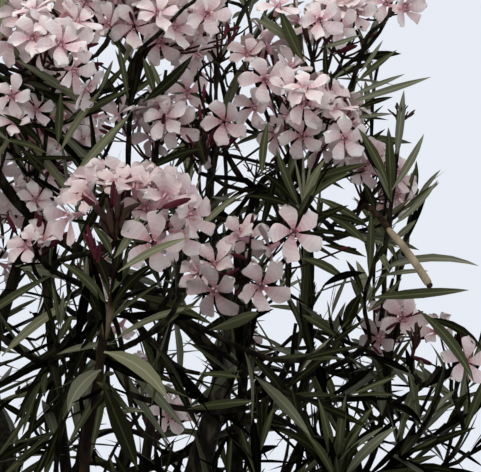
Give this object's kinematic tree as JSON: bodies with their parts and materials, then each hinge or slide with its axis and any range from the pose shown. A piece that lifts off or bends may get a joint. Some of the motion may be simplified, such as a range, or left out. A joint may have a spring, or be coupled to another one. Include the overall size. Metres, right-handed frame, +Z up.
{
  "type": "potted oleander",
  "caption": "Bushy flowering oleander with upright branching stems, narrow leathery leaves and pale pink flower heads, standing in a plain round clay pot.",
  "frame": {"origin": "centre of the pot's flat underside", "axes": "+Z straight up the plant, -Y towards the front that the picture looks at, +X to the right of that view"},
  "size_m": [1.1258, 1.1274, 1.8813],
  "materials": {
    "clay": "plain unglazed clay, faintly weathered",
    "soil": "dark crumbly potting soil",
    "bark": "grey-brown bark with small raised pores",
    "young_bark": "smooth green-brown young bark",
    "foliage": "dark leathery grey-green leaves with a paler midrib",
    "petal": "soft pale pink petals with a deeper rose throat",
    "bud": "deep crimson buds and flower stalks",
    "seed_pod": "dry khaki seed pod"
  },
  "bodies": {
    "root": {"pot": "clay", "soil": "soil", "stem_1": "bark", "stem_2": "bark", "stem_3": "bark", "stem_4": "bark", "stem_5": "bark", "stem_6": "bark", "stem_7": "bark", "stem_8": "bark", "bough_1": "young_bark", "bough_2": "young_bark", "bough_3": "young_bark", "bough_4": "young_bark", "bough_5": "young_bark", "bough_6": "young_bark", "bough_7": "young_bark", "bough_8": "young_bark", "bough_9": "young_bark", "bough_10": "young_bark", "bough_11": "young_bark", "bough_12": "young_bark", "bough_13": "young_bark", "bough_14": "young_bark", "bough_15": "young_bark", "bough_16": "young_bark", "bough_17": "young_bark", "bough_18": "young_bark", "bough_19": "young_bark", "bough_20": "young_bark", "bough_21": "young_bark", "bough_22": "young_bark", "foliage_1": "foliage", "foliage_2": "foliage", "foliage_3": "foliage", "foliage_4": "foliage", "foliage_5": "foliage", "foliage_6": "foliage", "foliage_7": "foliage", "foliage_8": "foliage", "foliage_9": "foliage", "foliage_10": "foliage", "foliage_11": "foliage", "foliage_12": "foliage", "foliage_13": "foliage", "foliage_14": "foliage", "foliage_15": "foliage", "foliage_16": "foliage", "foliage_17": "foliage", "foliage_18": "foliage", "foliage_19": "foliage", "foliage_20": "foliage", "foliage_21": "foliage", "foliage_22": "foliage"}
  },
  "joints": []
}
